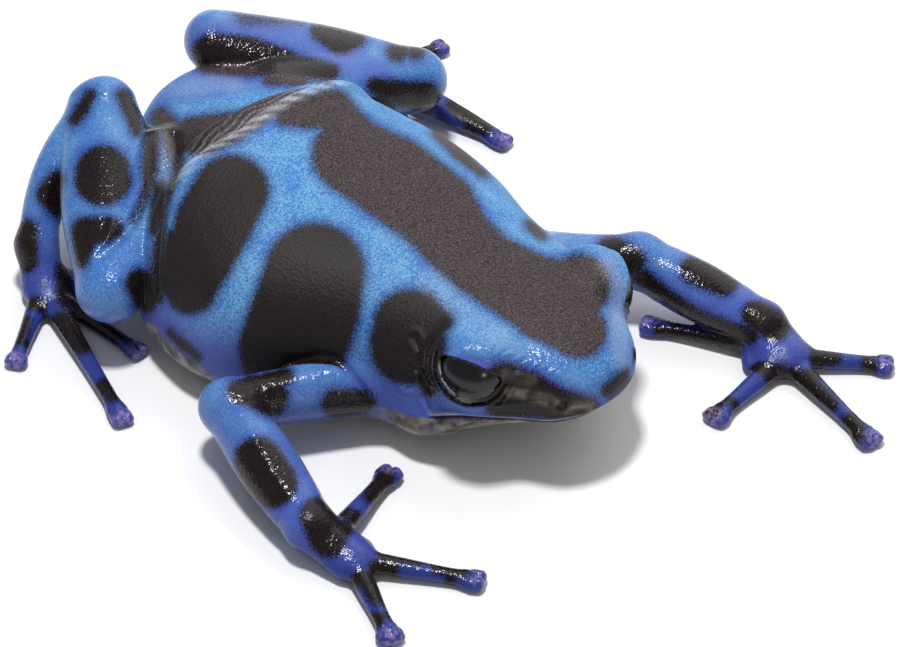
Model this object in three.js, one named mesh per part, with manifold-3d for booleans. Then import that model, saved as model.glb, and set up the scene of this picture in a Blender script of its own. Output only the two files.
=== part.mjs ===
// A blue-and-black poison dart frog sitting on the floor, life size, in millimetres.
// +Z is up, the head points along -Y and the frog's left side is +X. The origin is
// on the floor under the middle of the belly.
import * as THREE from "three";
import { ParametricGeometry } from "three/addons/geometries/ParametricGeometry.js";
import { mergeVertices } from "three/addons/utils/BufferGeometryUtils.js";
import Module from "manifold-3d";

const wasm = await Module();
wasm.setup();

const V = (x, y, z) => new THREE.Vector3(x, y, z);

// General sizes
const GAP = 0.3;
const FAR = 200;
const UP = V(0, 0, 1);
const SIDES = { right: -1, left: 1 };

// Trunk and head in one loft: place along Y, middle across X, half width,
// level of the widest line, top and bottom. The spine bows a little to the right.
const BODY = [
  [-21.7, 0.0, 3.3, 6.0, 7.7, 4.4],
  [-20.0, 0.0, 3.9, 5.9, 8.2, 3.8],
  [-18.0, 0.0, 4.9, 5.7, 8.8, 3.0],
  [-15.5, 0.0, 6.0, 4.2, 9.4, 1.7],
  [-13.0, 0.0, 7.4, 2.9, 9.7, 0.3],
  [-10.5, -0.2, 8.0, 2.7, 9.9, -0.1],
  [-7.5, -0.5, 8.7, 3.1, 10.2, -0.2],
  [-4.0, -1.0, 10.2, 3.4, 10.6, -0.3],
  [0.0, -1.6, 11.6, 2.8, 10.9, -0.4],
  [4.0, -1.6, 11.4, 2.5, 11.0, -0.4],
  [7.5, -1.2, 10.3, 2.7, 10.9, -0.3],
  [10.5, -0.1, 8.0, 3.8, 9.5, 0.2],
  [13.0, 0.4, 6.5, 4.3, 8.7, 0.8],
  [16.0, 0.9, 5.0, 4.8, 8.2, 1.8],
  [18.6, 1.4, 3.6, 5.2, 7.9, 3.0],
];
const SNOUT_Y = BODY[0][0];
const RUMP_Y = BODY[BODY.length - 1][0];
const NECK_Y = -9.2;
const SQUARENESS = 2.5;
const SNOUT_ROUND = 2.2;
const RUMP_ROUND = 3.0;
const SACRAL_RIDGE = { middle: V(-0.2, 7.5, 9.0), radii: V(6.4, 1.5, 2.4) };

// Head details. The eyes look out and a little forward from under slanted upper lids.
const EYE = V(5.1, -15.2, 7.0);
const EYE_RADIUS = 1.95;
const SOCKET_RADIUS = EYE_RADIUS + GAP;
const LID_RADIUS = SOCKET_RADIUS + 0.5;
const LID_SHIFT = V(-0.25, 0.15, 0.1);
const UPPER_LID = { normal: V(0.826, -0.274, -0.494), offset: 0.1 };
const LOWER_LID = { normal: V(0.4, -0.45, 0.8), offset: 0.85 };
const MOUTH = { front: 4.9, slope: 0.2, corner: -12.8 };
const NOSTRIL = { y: -20.6, level: 6.2, radius: 0.36 };
const EARDRUM = { y: -11.9, level: 5.5, radius: 0.75, ball: 1.6 };

// Forelimbs: joints of the bones, the tips of fingers one to four, and how far each
// finger starts back from the palm towards the wrist
const ARMS = {
  right: {
    shoulder: V(-7.6, -8.2, 3.3),
    elbow: V(-15.1, -4.3, 3.4),
    wrist: V(-17.9, -14.2, 1.8),
    palm: V(-17.3, -17.2, 0.8),
    tips: [[-15.6, -10.8], [-10.0, -13.0], [-13.1, -23.6], [-20.3, -23.5]],
    starts: [0.5, 0.55, 0, 0],
  },
  left: {
    shoulder: V(7.0, -8.4, 4.0),
    elbow: V(12.0, -12.4, 3.7),
    wrist: V(14.7, -20.2, 1.6),
    palm: V(14.2, -22.7, 0.8),
    tips: [[10.7, -14.3], [7.2, -23.3], [12.4, -31.5], [18.4, -27.4]],
    starts: [0.3, 0, 0, 0],
  },
};

// Hind limbs: joints of the bones, the tips of toes one to five, and how far each toe
// starts back from the sole towards the ankle
const LEGS = {
  right: {
    hip: V(-4.6, 12.4, 6.2),
    knee: V(-13.5, 7.7, 4.5),
    heel: V(-4.3, 17.9, 8.1),
    ankle: V(-12.4, 15.7, 2.8),
    sole: V(-13.3, 14.1, 0.8),
    tips: [[-10.2, 13.0], [-10.6, 10.6], [-13.1, 5.8], [-18.1, 1.8], [-19.1, 10.4]],
    starts: [0.3, 0.15, 0, 0, 0],
  },
  left: {
    hip: V(5.0, 12.4, 6.2),
    knee: V(13.9, 9.0, 4.9),
    heel: V(4.9, 18.0, 8.0),
    ankle: V(13.0, 16.2, 2.8),
    sole: V(15.5, 15.5, 0.8),
    tips: [[11.2, 14.0], [11.0, 11.0], [13.2, 6.9], [17.4, 4.4], [21.6, 14.3]],
    starts: [0.3, 0.15, 0, 0, 0],
  },
};

// Shapes of the limb lengths: share of the way, half width and half height
const UPPER_ARM = [[0, 2.1, 2.1], [0.5, 1.75, 1.75], [1, 1.6, 1.6]];
const FOREARM = [[0, 1.6, 1.6], [0.45, 1.9, 1.8], [0.8, 1.75, 1.5], [1, 1.45, 1.25]];
const HAND = [[0, 1.45, 1.25], [1, 1.9, 0.95]];
const THIGH = [[0, 2.7, 2.6], [0.5, 2.7, 2.4], [1, 2.0, 1.9]];
const SHANK = [[0, 2.0, 1.8], [0.4, 2.9, 1.9], [0.75, 2.8, 1.8], [1, 2.4, 1.7]];
const TARSUS = [[0, 1.6, 1.5], [0.5, 1.45, 1.35], [1, 1.2, 1.15]];
const TARSUS_BOW = V(0.75, 0.6, 0.2);
const FOOT = [[0, 1.2, 1.15], [1, 1.4, 0.95]];
const FINGER = [[0, 0.8, 0.6], [0.4, 0.65, 0.52], [0.8, 0.56, 0.45], [0.93, 0.85, 0.45], [1, 0.85, 0.42]];
const TOE = [[0, 0.8, 0.6], [0.4, 0.6, 0.5], [0.84, 0.5, 0.43], [0.94, 0.7, 0.43], [1, 0.7, 0.4]];
const TIP_LEVEL = 0.4;
const FINGER_ROOT = 2.6;
const TOE_ROOT = 4.0;
const SHORTEST_ROOT = 1.8;
const ROOT_SHARE = 0.48;
const DISC_ROUND = 0.35;

// How finely the forms are cut into faces: round and along
const BODY_FACES = [36, 42];
const ARM_FACES = [14, 12];
const LEG_FACES = [16, 12];
const DIGIT_FACES = [8, 11];
const BALL_FACES = 21;
const DISH_FACES = 18;
const NOSTRIL_FACES = 9;
const SAME_POINT = 1e-4;
const CAP_FADE = 3;
const END_CROWDING = 0.6;

// Smooth values between the rows of a table whose first column is the place.
function smoothRow(table, at) {
  const last = table.length - 1;
  const place = Math.min(Math.max(at, table[0][0]), table[last][0]);
  const i = Math.min(table.findLastIndex((row) => row[0] <= place), last - 1);
  const [earlier, a, b, later] = [-1, 0, 1, 2].map((k) => table[Math.min(Math.max(i + k, 0), last)]);
  const span = b[0] - a[0];
  const t = (place - a[0]) / span;
  const ease = t * t * (3 - 2 * t);
  return a.slice(1).map((value, k) => {
    const column = k + 1;
    const slopeA = (b[column] - earlier[column]) / (b[0] - earlier[0]);
    const slopeB = (later[column] - value) / (later[0] - a[0]);
    const bend = t * (1 - t) * ((1 - t) * slopeA - t * slopeB) * span;
    return value + ease * (b[column] - value) + bend;
  });
}

const signedPower = (value, power) => Math.sign(value) * Math.abs(value) ** power;

// How far a section shrinks where an end rounds off over the length `round`.
function capScale(distanceToEnd, round) {
  const into = Math.min(Math.max(1 - distanceToEnd / round, 0), 1);
  return Math.sqrt(1 - into * into);
}

// Even steps, drawn together towards both ends.
function easeEnds(share) {
  return END_CROWDING * (1 - Math.cos(Math.PI * share)) / 2 + (1 - END_CROWDING) * share;
}

// A grown form is wider by `grow`, less so where its end rounds off, and longer at its ends.
const growth = (grow, cap) => grow * Math.min(cap * CAP_FADE, 1);
const endShift = (grow, v) => v === 0 ? -grow : v === 1 ? grow : 0;

// A solid of a closed geometry, with its faces turned out.
function solid(geometry) {
  const bare = new THREE.BufferGeometry();
  bare.setAttribute("position", geometry.getAttribute("position"));
  bare.setIndex(geometry.index);
  const merged = mergeVertices(bare, SAME_POINT);
  const faces = [];
  for (let i = 0; i < merged.index.count; i += 3) {
    const [a, b, c] = [0, 1, 2].map((k) => merged.index.getX(i + k));
    if (a !== b && b !== c && c !== a) faces.push([a, b, c]);
  }
  const build = (triangles) => new wasm.Manifold(new wasm.Mesh({
    numProp: 3,
    vertProperties: merged.attributes.position.array,
    triVerts: new Uint32Array(triangles.flat()),
  }));
  const made = build(faces);
  return made.volume() > 0 ? made : build(faces.map(([a, b, c]) => [a, c, b]));
}

// The middle, half width and half height of the body's section at y.
function bodySection(y, upper) {
  const [middle, width, level, top, bottom] = smoothRow(BODY, y);
  const cap = capScale(y - SNOUT_Y, SNOUT_ROUND) * capScale(RUMP_Y - y, RUMP_ROUND);
  return { middle, level, cap, width: width * cap, height: (upper ? top - level : level - bottom) * cap };
}

// The trunk and head, grown by `grow` on every side.
function bodySolid(grow) {
  const length = RUMP_Y - SNOUT_Y;
  return solid(new ParametricGeometry((u, v, target) => {
    const y = SNOUT_Y + length * easeEnds(v);
    const angle = 2 * Math.PI * u;
    const { middle, level, cap, width, height } = bodySection(y, Math.sin(angle) > 0);
    const more = growth(grow, cap);
    const end = endShift(grow, v);
    target.set(
      middle + (width + more) * signedPower(Math.cos(angle), 2 / SQUARENESS),
      y + end,
      level + (height + more) * signedPower(Math.sin(angle), 2 / SQUARENESS),
    );
  }, ...BODY_FACES));
}

// The point of the body's surface at a place along Y, a level and a side.
function onSurface(y, level, side) {
  const section = bodySection(y, true);
  const rise = Math.max(level - section.level, 0) / section.height;
  const out = (1 - rise ** SQUARENESS) ** (1 / SQUARENESS);
  return V(section.middle + side * section.width * out, y, level);
}

// A tube with oval sections, rounded at both ends, that bows aside in the middle.
function tube(from, to, stations, options = {}) {
  const { grow = 0, faces = ARM_FACES, endRound, bow = V(0, 0, 0) } = options;
  const startRound = Math.min(...stations[0].slice(1));
  const finishRound = endRound ?? Math.min(...stations.at(-1).slice(1));
  const along = to.clone().sub(from);
  const length = along.length();
  along.normalize();
  const across = V(0, 0, 0).crossVectors(along, UP).normalize();
  const rise = V(0, 0, 0).crossVectors(across, along);
  const full = length + startRound + finishRound;
  return solid(new ParametricGeometry((u, v, target) => {
    const place = full * easeEnds(v);
    const share = Math.min(Math.max((place - startRound) / length, 0), 1);
    const [width, height] = smoothRow(stations, share);
    const cap = capScale(place, startRound) * capScale(full - place, finishRound);
    const more = growth(grow, cap);
    const end = endShift(grow, v);
    const angle = 2 * Math.PI * u;
    target.copy(from)
      .addScaledVector(along, place - startRound + end)
      .addScaledVector(bow, 4 * share * (1 - share))
      .addScaledVector(across, (width * cap + more) * Math.cos(angle))
      .addScaledVector(rise, (height * cap + more) * Math.sin(angle));
  }, ...faces));
}

function ball(middle, radii, segments = BALL_FACES) {
  const geometry = new THREE.SphereGeometry(1, segments, segments * 2 / 3);
  geometry.scale(radii.x, radii.y, radii.z);
  geometry.translate(middle.x, middle.y, middle.z);
  return solid(geometry);
}

const sphere = (middle, radius, segments) => ball(middle, V(radius, radius, radius), segments);

// A block that fills the side of a plane that `normal` points to, from `gap` on.
function beyond(point, normal, gap = GAP / 2) {
  const block = new THREE.BoxGeometry(FAR, FAR, FAR);
  block.translate(0, 0, FAR / 2 + gap);
  block.applyQuaternion(new THREE.Quaternion().setFromUnitVectors(UP, normal.clone().normalize()));
  block.translate(point.x, point.y, point.z);
  return solid(block);
}

const before = (point, normal) => beyond(point, normal.clone().negate());

// The normal of the cut between two limb lengths that meet at `joint`.
function mitre(from, joint, to) {
  const towards = joint.clone().sub(from).normalize();
  return to.clone().sub(joint).normalize().add(towards).normalize();
}

const MATERIALS = {
  blue: new THREE.MeshStandardMaterial({ color: 0x4a7fd0, roughness: 0.35, metalness: 0 }),
  black: new THREE.MeshStandardMaterial({ color: 0x231c1c, roughness: 0.3, metalness: 0 }),
  eye: new THREE.MeshStandardMaterial({ color: 0x0b0e12, roughness: 0.05, metalness: 0 }),
};

const frog = new THREE.Group();
const ABOVE_FLOOR = beyond(V(0, 0, 0), UP, 0);

// Trims a piece at the floor, keeps its largest closed body and adds it by name.
function addPart(name, made, material) {
  const pieces = made.intersect(ABOVE_FLOOR).decompose();
  const kept = pieces.sort((a, b) => b.volume() - a.volume())[0].getMesh();
  const geometry = new THREE.BufferGeometry();
  geometry.setAttribute("position", new THREE.BufferAttribute(kept.vertProperties, 3));
  geometry.setIndex(new THREE.BufferAttribute(kept.triVerts, 1));
  geometry.computeVertexNormals();
  const mesh = new THREE.Mesh(geometry, MATERIALS[material]);
  mesh.name = name;
  frog.add(mesh);
}

const mirrored = (point, side) => V(point.x * side, point.y, point.z);

// The swelling of the lids round one eye, its socket and the slit that shows the eye.
function eyeCuts(side) {
  const middle = mirrored(EYE, side);
  const under = mirrored(UPPER_LID.normal, side);
  const over = mirrored(LOWER_LID.normal, side);
  const lids = sphere(middle.clone().add(mirrored(LID_SHIFT, side)), LID_RADIUS);
  const slit = sphere(middle, LID_RADIUS + GAP)
    .intersect(beyond(middle, under, UPPER_LID.offset))
    .intersect(beyond(middle, over, LOWER_LID.offset));
  return { lids, hollow: sphere(middle, SOCKET_RADIUS).add(slit) };
}

function addHead(body) {
  const neck = V(0, NECK_Y, 0);
  let head = body.intersect(before(neck, V(0, 1, 0)));
  for (const [name, side] of Object.entries(SIDES)) {
    const { lids, hollow } = eyeCuts(side);
    const nostril = onSurface(NOSTRIL.y, NOSTRIL.level, side);
    const ear = onSurface(EARDRUM.y, EARDRUM.level, side);
    const dip = Math.sqrt(EARDRUM.ball ** 2 - EARDRUM.radius ** 2);
    head = head.add(lids).subtract(hollow)
      .subtract(sphere(nostril, NOSTRIL.radius, NOSTRIL_FACES))
      .subtract(sphere(V(ear.x + side * dip, ear.y, ear.z), EARDRUM.ball, DISH_FACES));
    addPart(`eye_${name}`, sphere(mirrored(EYE, side), EYE_RADIUS), "eye");
  }
  const lips = V(0, SNOUT_Y, MOUTH.front);
  const mouthUp = V(0, MOUTH.slope, 1);
  const corner = V(0, MOUTH.corner, 0);
  const jawRoom = beyond(lips, mouthUp.clone().negate(), -GAP / 2)
    .intersect(beyond(corner, V(0, -1, 0), -GAP / 2));
  addPart("head", head.subtract(jawRoom), "blue");
  addPart("lower_jaw", head.intersect(before(lips, mouthUp)).intersect(before(corner, V(0, 1, 0))), "black");
}

function addTorso(body) {
  const ridge = ball(SACRAL_RIDGE.middle, SACRAL_RIDGE.radii);
  addPart("torso", body.intersect(beyond(V(0, NECK_Y, 0), V(0, 1, 0))).add(ridge), "black");
}

// One piece for each length of a limb, parted by a thin cut at each joint.
function limbLengths(joints, lengths, faces) {
  return lengths.map(({ shape, bow }, i) => {
    const [from, to] = [joints[i], joints[i + 1]];
    let piece = tube(from, to, shape, { faces, bow });
    if (i > 0) piece = piece.intersect(beyond(from, mitre(joints[i - 1], from, to)));
    if (joints[i + 2]) piece = piece.intersect(before(to, mitre(from, to, joints[i + 2])));
    return piece;
  });
}

// A hand or foot with its digits, which part from it a short way out.
function addDigits(kind, name, palm, { middle, back, tips, starts, shape, root, palmRoom, clearOf }) {
  const options = { faces: DIGIT_FACES, endRound: DISC_ROUND };
  const bones = tips.map(([x, y], i) => [middle.clone().lerp(back, starts[i]), V(x, y, TIP_LEVEL)]);
  const rays = bones.map(([from, tip]) => tube(from, tip, shape, options));
  const rooms = bones.map(([from, tip]) => tube(from, tip, shape, { ...options, grow: GAP }));
  const [whole, digit] = kind === "hand" ? ["hand", "finger"] : ["foot", "toe"];
  let joined = palm;
  bones.forEach(([from, tip], i) => {
    const out = tip.clone().sub(from);
    const length = Math.max(SHORTEST_ROOT, Math.min(root, ROOT_SHARE * out.length()));
    const start = from.clone().addScaledVector(out.normalize(), length);
    joined = joined.add(rays[i].intersect(before(start, out)));
    let free = rays[i].intersect(beyond(start, out)).subtract(palmRoom);
    rooms.forEach((room, k) => {
      if (k !== i) free = free.subtract(room);
    });
    addPart(`${digit}_${name}_${i + 1}`, clearOf.reduce((left, room) => left.subtract(room), free), "blue");
  });
  addPart(`${whole}_${name}`, clearOf.reduce((left, room) => left.subtract(room), joined), "black");
}

function addForelimb(name, { shoulder, elbow, wrist, palm, tips, starts }, bodyRoom) {
  const joints = [shoulder, elbow, wrist, palm];
  const lengths = [{ shape: UPPER_ARM }, { shape: FOREARM }, { shape: HAND }];
  const [upper, fore, hand] = limbLengths(joints, lengths, ARM_FACES);
  addPart(`upper_arm_${name}`, upper.subtract(bodyRoom), "black");
  addPart(`forearm_${name}`, fore, "blue");
  const foreRoom = tube(elbow, wrist, FOREARM, { grow: GAP })
    .intersect(before(wrist, mitre(elbow, wrist, palm)));
  addDigits("hand", name, hand, {
    middle: palm,
    back: wrist,
    tips,
    starts,
    shape: FINGER,
    root: FINGER_ROOT,
    palmRoom: tube(wrist, palm, HAND, { grow: GAP }),
    clearOf: [foreRoom],
  });
}

function addHindLimb(name, { hip, knee, heel, ankle, sole, tips, starts }, bodyRoom) {
  const joints = [hip, knee, heel, ankle, sole];
  const tarsus = { shape: TARSUS, bow: mirrored(TARSUS_BOW, SIDES[name]) };
  const lengths = [{ shape: THIGH }, { shape: SHANK }, tarsus, { shape: FOOT }];
  const pieces = limbLengths(joints, lengths, LEG_FACES);
  ["thigh", "shank", "tarsus"].forEach((length, i) => {
    addPart(`${length}_${name}`, pieces[i].subtract(bodyRoom), length === "thigh" ? "black" : "blue");
  });
  addDigits("foot", name, pieces[3], {
    middle: sole,
    back: ankle,
    tips,
    starts,
    shape: TOE,
    root: TOE_ROOT,
    palmRoom: tube(ankle, sole, FOOT, { grow: GAP }),
    clearOf: [tube(hip, knee, THIGH, { grow: GAP }), tube(knee, heel, SHANK, { grow: GAP })],
  });
}

const body = bodySolid(0);
const bodyRoom = bodySolid(GAP);
addHead(body);
addTorso(body);
for (const name of Object.keys(SIDES)) {
  addForelimb(name, ARMS[name], bodyRoom);
  addHindLimb(name, LEGS[name], bodyRoom);
}

export default frog;
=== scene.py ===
# A blue-and-black poison dart frog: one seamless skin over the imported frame, with
# its markings, folds and lids, and a glossy eyeball on each side. Working units are
# millimetres, in the frame's axes: +Z up, snout along -Y, the frog's left side +X.
import math

import bpy
import numpy as np
from mathutils import Matrix, Vector


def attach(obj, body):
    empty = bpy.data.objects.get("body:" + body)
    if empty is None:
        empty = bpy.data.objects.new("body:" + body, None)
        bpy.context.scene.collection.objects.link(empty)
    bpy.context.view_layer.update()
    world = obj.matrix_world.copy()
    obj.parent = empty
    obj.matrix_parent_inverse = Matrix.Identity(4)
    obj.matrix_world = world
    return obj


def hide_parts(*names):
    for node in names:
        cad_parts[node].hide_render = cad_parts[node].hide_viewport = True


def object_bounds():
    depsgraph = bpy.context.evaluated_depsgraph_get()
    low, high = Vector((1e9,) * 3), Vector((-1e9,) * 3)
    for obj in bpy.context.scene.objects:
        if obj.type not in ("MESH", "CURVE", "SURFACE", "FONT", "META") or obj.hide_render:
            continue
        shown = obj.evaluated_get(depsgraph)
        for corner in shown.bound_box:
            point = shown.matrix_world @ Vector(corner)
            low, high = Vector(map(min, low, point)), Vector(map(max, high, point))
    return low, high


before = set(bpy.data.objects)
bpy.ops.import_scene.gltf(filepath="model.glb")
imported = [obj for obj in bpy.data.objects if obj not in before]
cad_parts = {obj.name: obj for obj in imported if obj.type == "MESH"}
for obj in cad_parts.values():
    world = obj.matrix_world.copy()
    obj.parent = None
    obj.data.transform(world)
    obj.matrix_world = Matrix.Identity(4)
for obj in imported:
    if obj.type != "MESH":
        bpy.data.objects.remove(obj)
CAD_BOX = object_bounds()
MM = 0.001
SIDES = {"right": -1, "left": 1}

# The camera, fitted to the photograph
PHOTO_WIDTH = 900
PHOTO_HEIGHT = 647
VIEW_AZIMUTH = math.radians(-45)
VIEW_ELEVATION = math.radians(40)
VIEW_DISTANCE = 400.0
VIEW_TARGET = np.array([0.0, -8.0, 5.0])
FOCAL_PIXELS = 6600.0
TARGET_RISE = 1.424
SENSOR_WIDTH = 36.0
PIXELS_PER_MM = FOCAL_PIXELS / VIEW_DISTANCE
BACK = np.array([
    math.sin(VIEW_AZIMUTH) * math.cos(VIEW_ELEVATION),
    -math.cos(VIEW_AZIMUTH) * math.cos(VIEW_ELEVATION),
    math.sin(VIEW_ELEVATION),
])
RIGHT = np.cross(-BACK, [0, 0, 1])
RIGHT /= np.linalg.norm(RIGHT)
VIEW_UP = np.cross(RIGHT, -BACK)
EYE_POINT = VIEW_TARGET + BACK * VIEW_DISTANCE - VIEW_UP * TARGET_RISE

# Trunk and head: place along Y, middle across X, half width, level of the widest
# line, top and bottom, as the solids have them
BODY = [
    [-21.7, 0.0, 3.3, 6.0, 7.7, 4.4],
    [-20.0, 0.0, 3.9, 5.9, 8.2, 3.8],
    [-18.0, 0.0, 4.9, 5.7, 8.8, 3.0],
    [-15.5, 0.0, 6.0, 4.2, 9.4, 1.7],
    [-13.0, 0.0, 7.4, 2.9, 9.7, 0.3],
    [-10.5, -0.2, 8.0, 2.7, 9.9, -0.1],
    [-7.5, -0.5, 8.7, 3.1, 10.2, -0.2],
    [-4.0, -1.0, 10.2, 3.4, 10.6, -0.3],
    [0.0, -1.6, 11.6, 2.8, 10.9, -0.4],
    [4.0, -1.6, 11.4, 2.5, 11.0, -0.4],
    [7.5, -1.2, 10.3, 2.7, 10.9, -0.3],
    [10.5, -0.1, 8.0, 3.8, 9.5, 0.2],
    [13.0, 0.4, 6.5, 4.3, 8.7, 0.8],
    [16.0, 0.9, 5.0, 4.8, 8.2, 1.8],
    [18.6, 1.4, 3.6, 5.2, 7.9, 3.0],
]
SNOUT_Y = BODY[0][0]
RUMP_Y = BODY[-1][0]
SQUARENESS = 2.5
SNOUT_ROUND = 2.2
RUMP_ROUND = 3.0
RIDGE_MIDDLE = [0.6, 8.2, 9.0]
RIDGE_RADII = [6.2, 1.4, 2.2]
RIDGE_TURN = math.radians(-13)

# Head details, given for the left side. A profile is a row of bell-shaped rises, each
# with its height, place and width
EYE = np.array([5.1, -15.2, 7.0])
EYE_RADIUS = 2.33
LID_RADIUS = 2.75
LID_SHIFT = np.array([-0.25, 0.15, 0.1])
EYE_AXIS = np.array([0.573, -0.422, 0.702])
OPENING_RADIUS = 1.85
UPPER_LID = (np.array([0.778, -0.248, -0.577]), 0.3)
UNDER_LID = (-0.5, 0.2)
AHEAD_OF_EYE = (0.0, 0.6)
LIDS_BLEND = 0.9
OPENING_BLENDS = {"corner": 0.3, "depth": 0.1, "skin": 0.12}
OPENING_REACH = LID_RADIUS + 0.7
LID_EDGE = {"lift": 0.2, "drop": 0.05, "radius": 0.16, "past_rim": 0.3, "blend": 0.15}
LID_PROFILE = [(0.16, 0.05, 0.4), (-0.08, 0.1, 0.08)]
LID_FOLDS = [(0.4, 0.12), (0.7, 0.09), (1.0, 0.06)]
FOLD_WIDTH = 0.08
FOLD_RIDGE = {"share": 0.5, "aside": 0.15}
MOUTH = {"front": 4.9, "slope": 0.165, "corner": -13.8, "skin": 1.2}
MOUTH_FADE = (-0.4, 0.3)
LIP_PROFILE = [(0.27, 0, 0.11), (-0.13, 0.4, 0.22), (-0.1, -0.36, 0.24)]
NOSTRIL = {"y": -20.6, "level": 6.2, "radius": 0.3, "blend": 0.08}
NOSTRIL_PROFILE = [(0.09, 0.5, 0.17)]
EARDRUM = {"y": -11.9, "level": 5.5}
EARDRUM_PROFILE = [(0.1, 0, 0.6), (-0.06, 0.85, 0.2)]

# Joints of the bones, the tips of the digits, and how far each digit starts back
# from the palm or sole towards the wrist or ankle
ARMS = {
    "right": {
        "joints": [[-7.6, -8.2, 3.3], [-15.1, -4.3, 3.4], [-17.9, -14.2, 1.8], [-17.3, -17.2, 0.8]],
        "tips": [[-15.6, -10.8], [-10.0, -13.0], [-13.1, -23.6], [-20.3, -23.5]],
        "starts": [0.5, 0.55, 0, 0],
    },
    "left": {
        "joints": [[7.0, -8.4, 4.0], [12.0, -12.4, 3.7], [14.7, -20.2, 1.6], [14.2, -22.7, 0.8]],
        "tips": [[10.7, -14.3], [7.2, -23.3], [12.4, -31.5], [18.4, -27.4]],
        "starts": [0.3, 0, 0, 0],
    },
}
LEGS = {
    "right": {
        "joints": [
            [-4.6, 12.4, 6.2], [-13.5, 7.7, 4.5], [-4.3, 17.9, 8.1], [-12.4, 15.7, 2.8],
            [-13.3, 14.1, 0.8],
        ],
        "tips": [[-10.2, 13.0], [-10.6, 10.6], [-13.1, 5.8], [-18.1, 1.8], [-19.1, 10.4]],
        "starts": [0.3, 0.15, 0, 0, 0],
    },
    "left": {
        "joints": [
            [5.0, 12.4, 6.2], [13.9, 9.0, 4.9], [4.9, 18.0, 8.0], [13.0, 16.2, 2.8],
            [15.5, 15.5, 0.8],
        ],
        "tips": [[11.2, 14.0], [11.0, 11.0], [13.2, 6.9], [17.4, 4.4], [21.6, 14.3]],
        "starts": [0.3, 0.15, 0, 0, 0],
    },
}
TIP_LEVEL = 0.4
# Shapes of the limb lengths: share of the way, half width and half height
UPPER_ARM = [[0, 2.1, 2.1], [0.5, 1.75, 1.75], [1, 1.6, 1.6]]
FOREARM = [[0, 1.6, 1.6], [0.45, 1.9, 1.8], [0.8, 1.75, 1.5], [1, 1.45, 1.25]]
HAND = [[0, 1.45, 1.25], [1, 1.7, 0.95]]
THIGH = [[0, 2.7, 2.6], [0.5, 2.7, 2.4], [1, 2.0, 1.9]]
SHANK = [[0, 2.0, 1.8], [0.4, 2.9, 1.9], [0.75, 2.8, 1.8], [1, 2.4, 1.7]]
TARSUS = [[0, 1.6, 1.5], [0.5, 1.45, 1.35], [1, 1.2, 1.15]]
TARSUS_BOW = [0.75, 0.6, 0.2]
FOOT = [[0, 1.2, 1.15], [1, 1.4, 0.95]]
FINGER = [[0, 0.8, 0.6], [0.4, 0.65, 0.52], [0.8, 0.56, 0.45], [0.93, 0.85, 0.45], [1, 0.85, 0.42]]
TOE = [[0, 0.8, 0.6], [0.4, 0.6, 0.5], [0.84, 0.5, 0.43], [0.94, 0.7, 0.43], [1, 0.7, 0.4]]
DISC_ROUND = 0.35

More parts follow.
